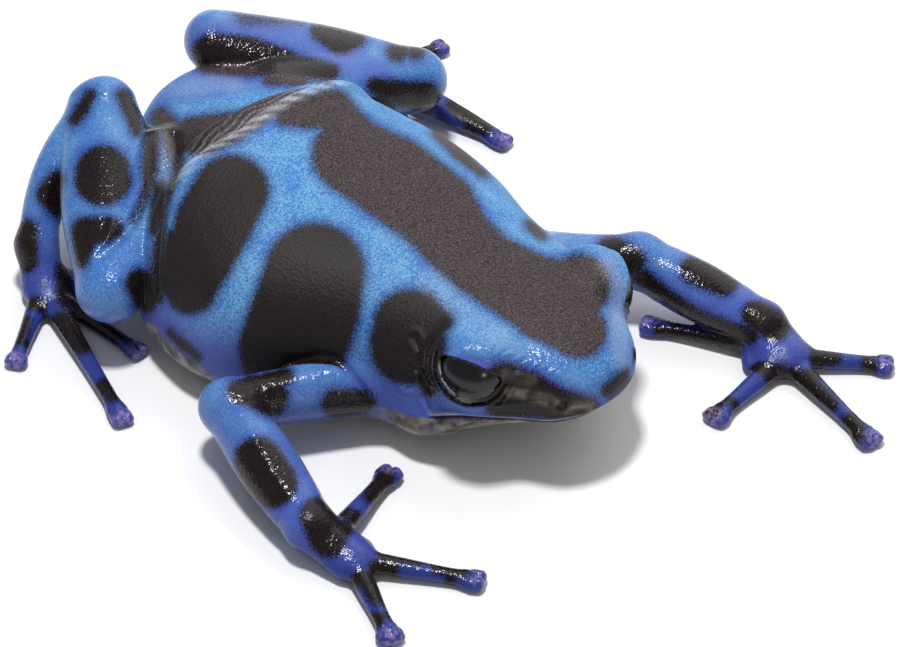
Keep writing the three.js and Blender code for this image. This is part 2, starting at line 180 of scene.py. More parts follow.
# Black markings on the side that the photograph shows, and painted shade in some gaps and hollows:
# each is a chain of round spots, given as the photograph's column, row and the spot's radius in pixels
DARK_CHAINS = {
    "saddle": [
        (284, 117, 8), (308, 113, 16), (334, 108, 18), (347, 130, 24), (354, 155, 40), (391, 176, 44),
        (434, 208, 42), (455, 237, 36), (484, 264, 34), (522, 286, 37), (552, 300, 43),
    ],
    "crown_left": [(552, 300, 43), (578, 286, 31)],
    "crown_front": [(552, 305, 40), (578, 330, 27)],
    "flank_rear": [(231, 191, 36), (214, 222, 38), (200, 256, 33), (190, 287, 26)],
    "right_flank_edge": [(173, 236, 6), (169, 262, 8), (169, 287, 8)],
    "flank_middle": [(315, 272, 48), (306, 310, 52), (292, 350, 52)],
    # cheek: black marking, with painted shade in the hollows round the eardrum
    "cheek": [(410, 326, 35), (409, 346, 38), (428, 372, 16), (430, 388, 8)],
    "cheek_top": [(425, 318, 24), (440, 322, 12)],
    # lores: black marking, with the painted shadow under the brow
    "lores": [(504, 388, 24), (528, 395, 22), (556, 404, 16), (590, 408, 9)],
    "lids": [(438, 352, 6), (437, 368, 8), (443, 382, 7), (456, 390, 6), (472, 395, 5), (488, 397, 6)],
    "snout_tip": [(610, 391, 7), (625, 378, 7)],
    "far_edge": [(418, 118, 4), (440, 136, 7), (462, 155, 8), (482, 172, 5)],
    "far_shoulder": [(532, 226, 5), (540, 234, 5)],
    "rump": [
        (190, 136, 20), (206, 130, 25), (226, 124, 22), (248, 116, 15), (272, 105, 10), (296, 98, 7),
    ],
    "rump_far": [(270, 80, 5), (300, 80, 6), (325, 80, 5)],
    "belly_edge": [(170, 332, 3), (182, 344, 4), (198, 357, 3)],
    "right_upper_arm": [(240, 391, 11), (256, 391, 17), (270, 398, 17)],
    # right_arm_top_and_shadow: black on the arm's top, with the flank's shadow on it painted in
    "right_arm_top_and_shadow": [(270, 380, 10), (284, 376, 8)],
    "right_arm_root": [(336, 404, 13), (362, 403, 12)],
    "right_forearm": [(258, 462, 24), (270, 482, 26)],
    "right_wrist": [(320, 516, 19), (328, 538, 18), (346, 526, 8)],
    "right_hand": [(378, 570, 9), (370, 582, 10), (378, 596, 9)],
    "right_finger_1": [(385, 478, 9), (372, 495, 8)],
    "right_finger_3": [(385, 556, 6), (400, 558, 4), (420, 562, 3)],
    "right_finger_3_tip": [(440, 566, 8), (462, 570, 7)],
    "right_finger_4": [(376, 620, 7), (392, 616, 5)],
    "left_upper_arm": [(612, 248, 12), (630, 262, 14)],
    "left_forearm_under": [(643, 279, 9), (667, 297, 7), (697, 317, 7), (728, 330, 8)],
    "left_forearm": [(695, 270, 13), (722, 280, 15)],
    "left_wrist": [(757, 315, 14), (775, 325, 15)],
    "left_wrist_under": [(720, 330, 8), (750, 335, 8)],
    "left_palm": [(768, 370, 7), (795, 378, 9), (818, 392, 8), (832, 404, 6)],
    "left_finger_1": [(660, 330, 5), (700, 338, 7), (735, 345, 8)],
    "left_finger_2": [(715, 405, 8), (710, 412, 6)],
    "left_finger_2_root": [(740, 378, 6), (746, 372, 5)],
    "left_finger_3": [(850, 424, 10), (858, 434, 8)],
    "left_finger_4": [(820, 356, 9), (832, 357, 8)],
    "left_finger_4_tip": [(870, 356, 6), (870, 368, 6)],
    "right_shank_spot": [(103, 172, 26), (103, 178, 27)],
    "right_shank_under": [(86, 232, 14), (106, 229, 12), (113, 229, 9)],
    "right_shank_low": [(84, 240, 12), (82, 262, 5)],
    "right_heel": [(90, 95, 4), (83, 108, 6), (75, 119, 5)],
    "right_heel_inner": [(124, 96, 6), (132, 112, 7), (137, 130, 5)],
    "right_thigh": [(140, 284, 14), (146, 300, 12)],
    "right_thigh_top": [(160, 186, 6), (158, 200, 8), (156, 216, 7), (154, 230, 4)],
    "right_tarsus": [(58, 182, 10), (50, 194, 12), (58, 206, 10)],
    "right_tarsus_outer": [(26, 232, 11), (26, 262, 10)],
    "right_tarsus_inner": [(64, 235, 5), (62, 270, 6), (66, 300, 8)],
    "right_toe_4": [(62, 320, 8), (80, 345, 9)],
    "right_toe_4_tip": [(106, 385, 7), (112, 396, 6)],
    "right_toe_3": [(80, 310, 8), (100, 325, 9), (122, 333, 7)],
    "right_toe_5": [(26, 320, 4), (22, 338, 5)],
    "left_shank": [(212, 54, 19), (250, 58, 20), (290, 65, 14), (330, 71, 8)],
    "left_shank_spot": [(322, 32, 10), (340, 40, 14), (355, 38, 9)],
    "left_knee": [(397, 52, 9), (402, 50, 7)],
    "left_thigh": [(375, 86, 7), (400, 93, 11), (425, 98, 15)],
    "left_toe_3": [(415, 52, 7), (432, 50, 5)],
    # Painted shade in the gaps between the right shank, thigh and flank, over the shank's black inner
    # side
    "right_shank_inner": [
        (152, 112, 6), (152, 130, 7), (151, 150, 7), (150, 170, 7), (149, 186, 5), (143, 202, 3),
        (133, 221, 1),
    ],
    "right_hip_gap_shade": [
        (158, 112, 9), (168, 124, 10), (175, 145, 9), (176, 165, 7), (171, 182, 5), (165, 202, 4),
        (161, 222, 4), (160, 245, 6), (158, 270, 8), (157, 296, 7),
    ],
    "crown_notch": [(560, 305, 40), (583, 312, 17)],
    "lores_low": [(498, 405, 12), (530, 408, 9), (556, 411, 6)],
    "left_toe_4": [(455, 105, 8), (482, 126, 9)],
}
# Black markings that the photograph hides: chains of place and radius
HIDDEN_CHAINS = {
    "left_flank_front": [(9.4, -5.2, 4.6, 1.9), (9.9, -4.0, 3.4, 1.9)],
    "left_flank": [(10.2, 1.0, 5.6, 2.2), (10.4, 2.6, 3.8, 2.6)],
    "left_flank_rear": [(9.2, 7.2, 5.2, 1.7), (9.0, 8.4, 3.6, 1.8)],
    "rump_low": [(1.0, 21.0, 3.6, 1.3), (2.2, 20.6, 3.2, 1.2)],
    "left_shank_back": [(6.6, 17.0, 8.0, 1.4), (9.2, 15.0, 7.2, 1.2)],
    "left_tarsus": [(8.6, 18.2, 5.4, 1.2), (10.0, 17.6, 4.4, 1.2)],
    "left_cheek": [(7.2, -11.6, 4.6, 1.6), (6.6, -13.2, 5.2, 1.2)],
    "left_lores": [(4.4, -18.2, 5.6, 1.1), (3.8, -20.0, 5.4, 0.9)],
}
# How far a step in depth counts beside one across the picture, how much wider a spot is
# on the skin than its pixels, and how far the trunk's markings are kept off the limbs
DEPTH_SHARE = 0.35
SPOT_GROWTH = 2.0
LIMB_GAP = 3.0


def smooth_row(table, at):
    """Smooth values between the rows of a table whose first column is the place."""
    rows = np.array(table, float)
    last = len(rows) - 1
    at = np.clip(np.asarray(at, float), rows[0, 0], rows[-1, 0])
    i = np.minimum(np.searchsorted(rows[:, 0], at, side="right") - 1, last - 1)
    ahead, a, b, beyond = (rows[np.clip(i + k, 0, last)] for k in (-1, 0, 1, 2))
    span = (b[:, 0] - a[:, 0])[:, None]
    t = ((at - a[:, 0]) / span[:, 0])[:, None]
    slope_a = (b - ahead) / (b[:, :1] - ahead[:, :1])
    slope_b = (beyond - a) / (beyond[:, :1] - a[:, :1])
    bend = t * (1 - t) * ((1 - t) * slope_a - t * slope_b) * span
    return (a + t * t * (3 - 2 * t) * (b - a) + bend)[:, 1:].T


BODY_STEPS = 801
TUBE_STEPS = 201
LEAST_REACH = 0.02


def look_up(table, steps):
    """A function that reads a table's columns quickly."""
    places = np.linspace(table[0][0], table[-1][0], steps)
    columns = smooth_row(table, places)
    return lambda at: [np.interp(at, places, column) for column in columns]


def soft_min(a, b, softness):
    """The lesser of two fields, with a round blend where they meet."""
    near = np.maximum(softness - np.abs(a - b), 0)
    return np.minimum(a, b) - near * near / (4 * softness)


def soft_max(a, b, softness):
    return -soft_min(-a, -b, softness)


def bell(value, width):
    return np.exp(-((value / width) ** 2))


def bells(value, profile):
    return sum(height * bell(value - place, width) for height, place, width in profile)


def ramp(value, low, high):
    """A share that rises smoothly from 0 at `low` to 1 at `high`."""
    t = np.clip((value - low) / (high - low), 0, 1)
    return t * t * (3 - 2 * t)


def length_of(vectors):
    return np.sqrt((vectors * vectors).sum(-1))


def stretched(out, reach):
    """Distance to an oval shape: how far out a point is, and as a share of the oval's reach."""
    return out * (1 - 1 / np.maximum(reach, LEAST_REACH))


body_table = look_up(BODY, BODY_STEPS)


def body_distance(p):
    """Distance from the trunk and head, before their details."""
    middle, width, level, top, bottom = body_table(p[:, 1])
    a = p[:, 0] - middle
    b = p[:, 2] - level
    height = np.where(b > 0, top - level, level - bottom)
    rho = (np.abs(a) / width) ** SQUARENESS + (np.abs(b) / height) ** SQUARENESS
    rho = rho ** (1 / SQUARENESS)
    front = np.maximum(1 - (p[:, 1] - SNOUT_Y) / SNOUT_ROUND, 0)
    rear = np.maximum(1 - (RUMP_Y - p[:, 1]) / RUMP_ROUND, 0)
    reach = np.sqrt(rho**2 + front**2 + rear**2)
    out = np.sqrt(a * a + b * b + (front * SNOUT_ROUND) ** 2 + (rear * RUMP_ROUND) ** 2)
    return stretched(out, reach)


def ellipsoid_distance(p, middle, radii, turn=0.0):
    q = p - np.array(middle)
    x, y = q[:, 0], q[:, 1]
    cosine, sine = math.cos(turn), math.sin(turn)
    q = np.stack([x * cosine + y * sine, y * cosine - x * sine, q[:, 2]], 1)
    reach = length_of(q / np.array(radii))
    return stretched(length_of(q), reach)


class Tube:
    """A tube with oval sections, rounded at both ends, that bows aside in the middle."""

    def __init__(self, start, finish, stations, end_round=None, bow=(0, 0, 0)):
        self.start = np.array(start, float)
        self.finish = np.array(finish, float)
        self.along = self.finish - self.start
        self.length = float(length_of(self.along))
        self.along /= self.length
        self.across = np.cross(self.along, [0, 0, 1])
        self.across /= length_of(self.across)
        self.rise = np.cross(self.across, self.along)
        self.table = look_up(stations, TUBE_STEPS)
        self.start_round = min(stations[0][1:])
        self.end_round = end_round or min(stations[-1][1:])
        self.bow = np.array(bow, float)
        thick = max(max(row[1:]) for row in stations) + float(length_of(self.bow))
        self.low = np.minimum(self.start, self.finish) - thick
        self.high = np.maximum(self.start, self.finish) + thick

    def distance(self, p):
        q = p - self.start
        place = q @ self.along
        share = np.clip(place / self.length, 0, 1)
        width, height = self.table(share)
        q = q - self.bow * (4 * share * (1 - share))[:, None]
        a = q @ self.across
        b = q @ self.rise
        front = np.maximum(-place / self.start_round, 0)
        rear = np.maximum((place - self.length) / self.end_round, 0)
        reach = np.sqrt((a / width) ** 2 + (b / height) ** 2 + front**2 + rear**2)
        out = np.sqrt(a * a + b * b + (front * self.start_round) ** 2 + (rear * self.end_round) ** 2)
        return stretched(out, reach)


# How far from its box a tube still counts, and a distance that counts as far away
CULL = 1.6
FAR = 5.0


def inside_box(p, low, high, margin=CULL):
    return np.all((p > low - margin) & (p < high + margin), axis=1)


def join(field, p, tube, softness):
    """Adds a tube to a field. `softness` is one number or a function of the points."""
    near = inside_box(p, tube.low, tube.high)
    if not near.any():
        return field
    q = p[near]
    soft = softness(q) if callable(softness) else softness
    field[near] = soft_min(field[near], tube.distance(q), soft)
    return field


SKIN_SOFTNESS = 0.22


def soft_near(place, reach, inner, outer=SKIN_SOFTNESS):
    """A softness that is large near a joint and nearly nothing away from it."""
    place = np.array(place, float)
    return lambda p: outer + (inner - outer) * bell(length_of(p - place), reach)


def limb_tubes(joints, shapes, bows):
    return [
        Tube(joints[i], joints[i + 1], shape, bow=bow)
        for i, (shape, bow) in enumerate(zip(shapes, bows))
    ]


def digit_tubes(limb, shape):
    middle, back = np.array(limb["joints"][-1]), np.array(limb["joints"][-2])
    return [
        Tube(middle + (back - middle) * start, [x, y, TIP_LEVEL], shape, end_round=DISC_ROUND)
        for (x, y), start in zip(limb["tips"], limb["starts"])
    ]


NO_BOW = (0, 0, 0)
limbs = []
for name, side in SIDES.items():
    arm, leg = ARMS[name], LEGS[name]
    bow = [side * TARSUS_BOW[0], TARSUS_BOW[1], TARSUS_BOW[2]]
    limbs.append({
        "kind": "arm",
        "side": name,
        "joints": np.array(arm["joints"]),
        "lengths": limb_tubes(arm["joints"], [UPPER_ARM, FOREARM, HAND], [NO_BOW] * 3),
        "digits": digit_tubes(arm, FINGER),
    })
    limbs.append({
        "kind": "leg",
        "side": name,
        "joints": np.array(leg["joints"]),
        "lengths": limb_tubes(
            leg["joints"], [THIGH, SHANK, TARSUS, FOOT], [NO_BOW, NO_BOW, bow, NO_BOW],
        ),
        "digits": digit_tubes(leg, TOE),
    })


# Skin between the first two fingers of the left hand, and the thick root of a toe
WEBS = {
    ("arm", "left"): Tube([14.2, -22.7, 0.8], [12.6, -21.3, 0.6], [[0, 1.5, 0.8], [1, 1.0, 0.55]]),
    ("leg", "left"): Tube(
        [15.5, 15.5, 1.7], [17.4, 5.3, 0.5], [[0, 1.1, 0.9], [0.75, 0.75, 0.5], [1, 0.5, 0.4]],
    ),
}
# How far a blend reaches from its joint, and how soft it is there, in mm
JOINT_BLEND = (2.2, 1.3)
PALM_BLEND = (3.0, 0.9)
ROOT_BLEND = {"arm": (2.6, 1.5), "leg": (3.6, 1.6)}
FIRST_SOFTNESS = 0.1
FLOOR_SOFTNESS = 0.25
RIDGE_SOFTNESS = 1.6
RIDGE_MARGIN = 3.0


def limb_distance(limb, p):
    joints = limb["joints"]
    tubes = limb["lengths"]
    field = np.full(len(p), FAR)
    field = join(field, p, tubes[0], FIRST_SOFTNESS)
    for i in range(1, len(tubes)):
        field = join(field, p, tubes[i], soft_near(joints[i], *JOINT_BLEND))
    palm = soft_near(joints[-1], *PALM_BLEND)
    for tube in limb["digits"]:
        field = join(field, p, tube, palm)
    web = WEBS.get((limb["kind"], limb["side"]))
    return join(field, p, web, palm) if web else field


def mirrored(point, side):
    return np.array([point[0] * side, point[1], point[2]])


def on_surface(y, level, side):
    """The point of the body's side at a place along Y and a level."""
    middle, width, widest, top, _ = (float(v[0]) for v in body_table(np.array([y])))
    front = max(1 - (y - SNOUT_Y) / SNOUT_ROUND, 0)
    cap = math.sqrt(1 - front**2)
    rise = max(level - widest, 0) / ((top - widest) * cap)
    out = side * width * cap * (1 - rise**SQUARENESS) ** (1 / SQUARENESS)
    return np.array([middle + out, y, level])


NOSTRILS = {side: on_surface(NOSTRIL["y"], NOSTRIL["level"], side) for side in SIDES.values()}
EARDRUMS = {side: on_surface(EARDRUM["y"], EARDRUM["level"], side) for side in SIDES.values()}
HEAD_END = -8.0


def lip_level(p):
    """Height over the line of the mouth."""
    level = p[:, 2] - (MOUTH["front"] - MOUTH["slope"] * (p[:, 1] - SNOUT_Y))
    return level / math.hypot(1, MOUTH["slope"])


def ring_distance(q, normal, offset, radius):
    """Distance from a circle on the plane at `offset` along `normal`."""
    unit = normal / length_of(normal)
    height = q @ unit
    flat = length_of(q - height[:, None] * unit)
    return np.sqrt((flat - radius) ** 2 + (height - offset) ** 2)


def eye_frame(p, side):
    """Places round an eye: from its middle, out along its axis, past the rim of the opening
    and below the upper lid, and the share that counts as below it."""
    from_eye = p - mirrored(EYE, side)
    axis = mirrored(EYE_AXIS, side)
    ahead = from_eye @ (axis / length_of(axis))
    ring = np.sqrt(np.maximum((from_eye**2).sum(1) - ahead**2, 0)) - OPENING_RADIUS
    over = mirrored(UPPER_LID[0], side)
    below = from_eye @ (over / length_of(over)) - UPPER_LID[1]
    return from_eye, ahead, ring, below, ramp(below, *UNDER_LID) * ramp(ahead, *AHEAD_OF_EYE)


def eye_details(d, q, side):
    """Adds the lids round one eye, their folds, and the opening between them."""
    from_eye, ahead, ring, below_upper, below = eye_frame(q, side)
    lids = length_of(from_eye - mirrored(LID_SHIFT, side)) - LID_RADIUS
    d = soft_min(d, lids, LIDS_BLEND)
    ball = length_of(from_eye) - OPENING_REACH
    under_lid = soft_max(-below_upper, ring, OPENING_BLENDS["corner"])
    in_front = soft_max(ball, -ahead, OPENING_BLENDS["depth"])
    opening = soft_max(under_lid, in_front, OPENING_BLENDS["depth"])
    d = soft_max(d, -opening, OPENING_BLENDS["skin"])
    normal, offset = mirrored(UPPER_LID[0], side), UPPER_LID[1]
    edge_radius = math.sqrt((EYE_RADIUS + LID_EDGE["lift"]) ** 2 - offset**2)
    edge = ring_distance(from_eye, normal, offset - LID_EDGE["drop"], edge_radius) - LID_EDGE["radius"]
    d = np.where(ring < LID_EDGE["past_rim"], soft_min(d, edge, LID_EDGE["blend"]), d)
    d = d + bells(ring, LID_PROFILE) * below
    for fold, deep in LID_FOLDS:
        beside = FOLD_RIDGE["share"] * deep * bell(ring - fold - FOLD_RIDGE["aside"], FOLD_WIDTH)
        d = d + (deep * bell(ring - fold, FOLD_WIDTH) - beside) * below
    return d


def head_details(field, p):
    """Adds the lids, nostrils, ears and lips."""
    near = p[:, 1] < HEAD_END + CULL
    q = p[near]
    d = field[near]
    for side in SIDES.values():
        d = eye_details(d, q, side)
        hole = length_of(q - NOSTRILS[side])
        d = soft_max(d - bells(hole, NOSTRIL_PROFILE), NOSTRIL["radius"] - hole, NOSTRIL["blend"])
        d = d + bells(length_of(q - EARDRUMS[side]), EARDRUM_PROFILE)
    along = ramp(MOUTH["corner"] - q[:, 1], *MOUTH_FADE)
    shallow = bell(np.minimum(d, 0), MOUTH["skin"])
    field[near] = d + along * shallow * bells(lip_level(q), LIP_PROFILE)
    return field


def trunk_distance(p):
    """Distance from the trunk and head, with the ridge over the hips and the details."""
    field = body_distance(p)
    middle = np.array(RIDGE_MIDDLE)
    near = inside_box(p, middle - RIDGE_RADII, middle + RIDGE_RADII, RIDGE_MARGIN)
    ridge = ellipsoid_distance(p[near], RIDGE_MIDDLE, RIDGE_RADII, RIDGE_TURN)
    field[near] = soft_min(field[near], ridge, RIDGE_SOFTNESS)
    return head_details(field, p)


def base_distance(p):
    """Distance from the skin, in millimetres, less than nothing inside it."""
    field = trunk_distance(p)
    for limb in limbs:
        tubes = limb["lengths"] + limb["digits"]
        low = np.min([tube.low for tube in tubes], axis=0)
        high = np.max([tube.high for tube in tubes], axis=0)
        near = inside_box(p, low, high)
        if near.any():
            q = p[near]
            soft = soft_near(limb["joints"][0], *ROOT_BLEND[limb["kind"]])(q)
            field[near] = soft_min(field[near], limb_distance(limb, q), soft)
    return soft_max(field, -p[:, 2], FLOOR_SOFTNESS)


def view_space(p):
    """Columns and rows of the photograph as millimetres, and a share of the depth."""
    q = p - EYE_POINT
    depth = -(q @ BACK)
    scale = FOCAL_PIXELS / depth
    column = PHOTO_WIDTH / 2 + (q @ RIGHT) * scale
    row = PHOTO_HEIGHT / 2 - (q @ VIEW_UP) * scale
    return np.stack([column / PIXELS_PER_MM, row / PIXELS_PER_MM, depth * DEPTH_SHARE], axis=1)


NEAREST_DEPTH = 370.0
MARCH = {"steps": 160, "share": 0.6, "back": -0.5, "ahead": 1.2}


def march(columns, rows):
    """The skin's points behind some of the photograph's pixels."""
    side = (np.asarray(columns, float) - PHOTO_WIDTH / 2) / FOCAL_PIXELS
    rise = -(np.asarray(rows, float) - PHOTO_HEIGHT / 2) / FOCAL_PIXELS
    rays = side[:, None] * RIGHT + rise[:, None] * VIEW_UP - BACK
    depth = np.full(len(rays), NEAREST_DEPTH)
    for _ in range(MARCH["steps"]):
        gap = base_distance(EYE_POINT + rays * depth[:, None])
        depth += np.clip(gap * MARCH["share"], MARCH["back"], MARCH["ahead"])
    return EYE_POINT + rays * depth[:, None]


TINY = 1e-6


def chain_distance(points, chain):
    """Distance from a chain of round spots, each a place and a radius."""
    chain = np.asarray(chain, float)
    best = np.full(len(points), FAR * 2)
    for a, b in zip(chain[:-1], chain[1:]):
        step = b[:-1] - a[:-1]
        share = np.clip((points - a[:-1]) @ step / max(step @ step, TINY), 0, 1)
        radius = a[-1] + (b[-1] - a[-1]) * share
        best = np.minimum(best, length_of(points - a[:-1] - share[:, None] * step) - radius)
    return best


def spots_on_skin(chain, growth=0.0):
    """A chain given in the photograph's pixels, as places in view space and radii in mm."""
    columns, rows, radii = np.array(chain, float).T
    return np.column_stack([view_space(march(columns, rows)), (radii + growth) / PIXELS_PER_MM])


# The surface of the field as a net of squares
GRID = 0.15
COARSE = 4
BAND = 1.1
GRID_MARGIN = 1.0
GRID_BOTTOM = -0.6
BATCH = 6000


def fill_grid():
    """The field round the skin: coarse everywhere, and fine near the surface."""
    low = np.array([c / MM for c in CAD_BOX[0]]) - GRID_MARGIN
    high = np.array([c / MM for c in CAD_BOX[1]]) + GRID_MARGIN
    low[2] = GRID_BOTTOM
    cells = np.ceil((high - low) / (GRID * COARSE)).astype(int)
    step = GRID * COARSE
    axes = [low[k] + step * np.arange(cells[k] + 1) for k in range(3)]
    coarse = np.stack(np.meshgrid(*axes, indexing="ij"), -1).reshape(-1, 3)
    rough = base_distance(coarse).reshape([len(a) for a in axes]).astype(np.float32)
    field = rough.repeat(COARSE, 0).repeat(COARSE, 1).repeat(COARSE, 2)
    blocks = np.argwhere(np.abs(rough) < BAND)
    offsets = np.stack(np.meshgrid(*[np.arange(COARSE)] * 3, indexing="ij"), -1).reshape(-1, 3)
    for batch in np.array_split(blocks, max(1, len(blocks) // BATCH)):
        index = (batch[:, None, :] * COARSE + offsets[None]).reshape(-1, 3)
        field[index[:, 0], index[:, 1], index[:, 2]] = skin_distance(low + GRID * index)
    return field, low


def surface_net(field, low):
    """A vertex in each cell that the surface crosses, and a square round each crossed edge."""
    inside = field < 0
    shape = np.array(field.shape) - 1
    corners = [np.array(c) for c in np.ndindex(2, 2, 2)]
    part = lambda c: inside[c[0]:c[0] + shape[0], c[1]:c[1] + shape[1], c[2]:c[2] + shape[2]]
    count = sum(part(c).astype(np.uint8) for c in corners)
    cells = np.argwhere((count > 0) & (count < 8))
    number = np.full(shape, -1, np.int32)
    number[tuple(cells.T)] = np.arange(len(cells))
    total = np.zeros((len(cells), 3))
    hits = np.zeros(len(cells))
    for a in corners:
        for axis in range(3):
            if a[axis]:
                continue
            b = a.copy()
            b[axis] = 1
            fa = field[tuple((cells + a).T)].astype(float)
            fb = field[tuple((cells + b).T)].astype(float)
            crossed = (fa < 0) != (fb < 0)
            share = np.where(crossed, fa / np.where(fa == fb, 1, fa - fb), 0)
            total += np.where(crossed[:, None], a + share[:, None] * (b - a), 0)
            hits += crossed
    vertices = low + GRID * (cells + total / hits[:, None])
    faces = []
    for axis in range(3):
        ahead = [slice(1, None)] * 3
        here = [slice(1, None)] * 3
        here[axis] = slice(0, -1)
        after = list(here)
        after[axis] = slice(1, None)
        u, v = (axis + 1) % 3, (axis + 2) % 3
        first, second = inside[tuple(here)], inside[tuple(after)]
        edges = np.argwhere(first != second)
        falling = first[tuple(edges.T)]
        base = edges + 1
        base[:, axis] -= 1
        quad = []
        for du, dv in ((-1, -1), (0, -1), (0, 0), (-1, 0)):
            cell = base.copy()
            cell[:, u] += du
            cell[:, v] += dv
            keep = np.all((cell >= 0) & (cell < shape), axis=1)
            cell = np.clip(cell, 0, shape - 1)
            quad.append(np.where(keep, number[tuple(cell.T)], -1))
        quad = np.stack(quad, 1)
        quad[~falling] = quad[~falling][:, ::-1]
        faces.append(quad[(quad >= 0).all(1)])
    return vertices, np.concatenate(faces)


PROBE = 0.02
LEAST_SLOPE = 0.2
LONGEST_STEP = 0.1


def slope_at(points, axis):
    ahead = skin_distance(points + PROBE * axis)
    return (ahead - skin_distance(points - PROBE * axis)) / (2 * PROBE)


def settle(vertices, rounds=2, most=LONGEST_STEP):
    """Moves vertices onto the skin along the field's slope."""
    for _ in range(rounds):
        value = skin_distance(vertices)
        slope = np.stack([slope_at(vertices, axis) for axis in np.eye(3)], 1)
        steep = np.maximum((slope * slope).sum(1), LEAST_SLOPE)
        step = -(value / steep)[:, None] * slope
        size = length_of(step)
        vertices = vertices + step * np.minimum(1, most / np.maximum(size, TINY))[:, None]
    return vertices, slope


def split_faces(vertices, faces, chosen):
    """Splits the triangles whose corners are chosen, and closes the ones beside them."""
    edges = np.concatenate([faces[:, [0, 1]], faces[:, [1, 2]], faces[:, [2, 0]]])
    edges = edges[chosen[edges].all(1)]
    keys = np.unique(np.sort(edges, 1), axis=0)
    code = keys[:, 0].astype(np.int64) * len(vertices) + keys[:, 1]
    middles = vertices[keys].mean(1)

    def midpoint(a, b):
        wanted = np.minimum(a, b).astype(np.int64) * len(vertices) + np.maximum(a, b)
        place = np.searchsorted(code, wanted)
        found = (place < len(code)) & (code[np.minimum(place, len(code) - 1)] == wanted)
        return np.where(found, place + len(vertices), -1)

    a, b, c = faces.T
    ab, bc, ca = midpoint(a, b), midpoint(b, c), midpoint(c, a)
    marked = (ab >= 0).astype(int) + (bc >= 0) + (ca >= 0)
    parts = [faces[marked == 0]]
    full = marked == 3
    for trio in ((a, ab, ca), (ab, b, bc), (ca, bc, c), (ab, bc, ca)):
        parts.append(np.stack([t[full] for t in trio], 1))
    for middle, trio_1, trio_2 in (
        (ab, (a, ab, c), (ab, b, c)), (bc, (b, bc, a), (bc, c, a)), (ca, (c, ca, b), (ca, a, b)),
    ):
        one = (marked == 1) & (middle >= 0)
        for trio in (trio_1, trio_2):
            parts.append(np.stack([t[one] for t in trio], 1))
    return np.concatenate([vertices, middles]), np.concatenate(parts)


# Creases and folds drawn on the photograph: depth and width in mm, then the line
CREASES = {
    "lores": (0.09, 0.16, [(500, 402), (520, 399), (545, 400), (562, 409), (585, 409)]),
    "lower_lid": (0.1, 0.13, [(446, 390), (458, 399), (476, 403), (500, 402)]),
    "ear_front": (0.16, 0.22, [(414, 338), (422, 352), (420, 368), (428, 388)]),
    "ear_back": (0.1, 0.16, [(408, 366), (420, 372), (430, 392)]),
    "jaw": (0.12, 0.2, [(424, 372), (424, 396), (432, 410)]),
    "throat": (0.1, 0.2, [(432, 420), (452, 428), (474, 428)]),
    "eye_back": (0.13, 0.1, [(438, 350), (437, 366), (441, 380), (450, 392)]),
    "eye_back_far": (0.1, 0.1, [(431, 354), (431, 370), (436, 386), (448, 399)]),
    "canthus": (-0.16, 0.5, [(462, 350), (495, 354), (525, 361), (555, 373), (580, 388)]),
    "knee_fold": (0.7, 0.34, [
        (153, 135), (152, 160), (151, 182), (144, 201), (132, 222), (119, 239), (100, 256),
    ]),
    "hip_fold": (0.6, 0.34, [(174, 135), (176, 156), (170, 188), (160, 210), (156, 240), (155, 290)]),
    "tarsus_ridge": (-0.16, 0.28, [(57, 150), (52, 172), (46, 190), (38, 213), (33, 226)]),
    "forearm_ridge": (-0.1, 0.4, [(242, 414), (256, 442), (270, 470), (286, 492)]),
    "upper_arm_ridge": (-0.1, 0.55, [(246, 396), (275, 385), (305, 377), (330, 372)]),
    "armpit": (0.3, 0.25, [(262, 373), (290, 361), (318, 355), (338, 360), (352, 376), (364, 392)]),
    "shank_ridge": (-0.1, 0.25, [(113, 204), (112, 225), (106, 246)]),
}
# A fine crease has raised shoulders, and a ridge (a depth below nothing) has beads
SHOULDER = 0.5
FINE_CREASE = 0.25
CREASE_MARGIN = 1.0
BEAD = {"share": 0.2, "spacing": 0.55, "sway": 0.25, "turns": (3, 2, 0)}
creases = []
for depth, width, pixels in CREASES.values():
    line = march(*np.array(pixels, float).T)
    creases.append((depth, width, np.column_stack([line, np.zeros(len(line))])))

# Small swellings and hollows drawn on the photograph: the place in pixels, then the
# radius and the height in mm
RELIEF = {
    "rump_corner": (160, 98, 2.0, -0.9),
    "far_brow": (582, 270, 1.5, -0.3),
    "snout_side": (630, 345, 2.2, -0.25),
    "jaw_angle": (440, 426, 1.3, 0.5),
    "throat_side": (414, 424, 1.2, 0.45),
}
RELIEF_REACH = 2.2
relief = [
    (march([column], [row])[0], radius, height)
    for column, row, radius, height in RELIEF.values()
]

# The crest over the hips, drawn on the photograph, and the wrinkled hollow behind it
CREST_PIXELS = [(178, 180), (195, 161), (242, 134), (283, 106), (313, 92), (344, 84)]
CREST = {"rise": 0.3, "front": 1.7, "rear": 0.5, "hollow": 0.3, "wrinkle": 0.03, "spacing": 0.5}
HOLLOW_PLACE = 2.0
HOLLOW_WIDTH = 1.4
CREST_SLANT = 0.95
CREST_LEVELS = (5.0, 7.5)
CREST_START = (-0.8, 1.2)
CREST_STOP = (-1.0, 0.6)
CREST_BOX = (np.array([-8.0, 2.0, 5.0]), np.array([9.0, 15.0, 12.0]))
CREST_DEPTH = (-1.3, -0.8)
# Waves that bend the folds: size in mm, turn per mm and phase
FOLD_WAVES = [(0.35, 0.9, 0.0), (0.12, 2.3, 1.0)]
FOLDS_FRONT = (-0.7, 0.2)
FOLDS_REAR = (-4.5, -2.5)
crest_line = march(*np.array(CREST_PIXELS, float).T)


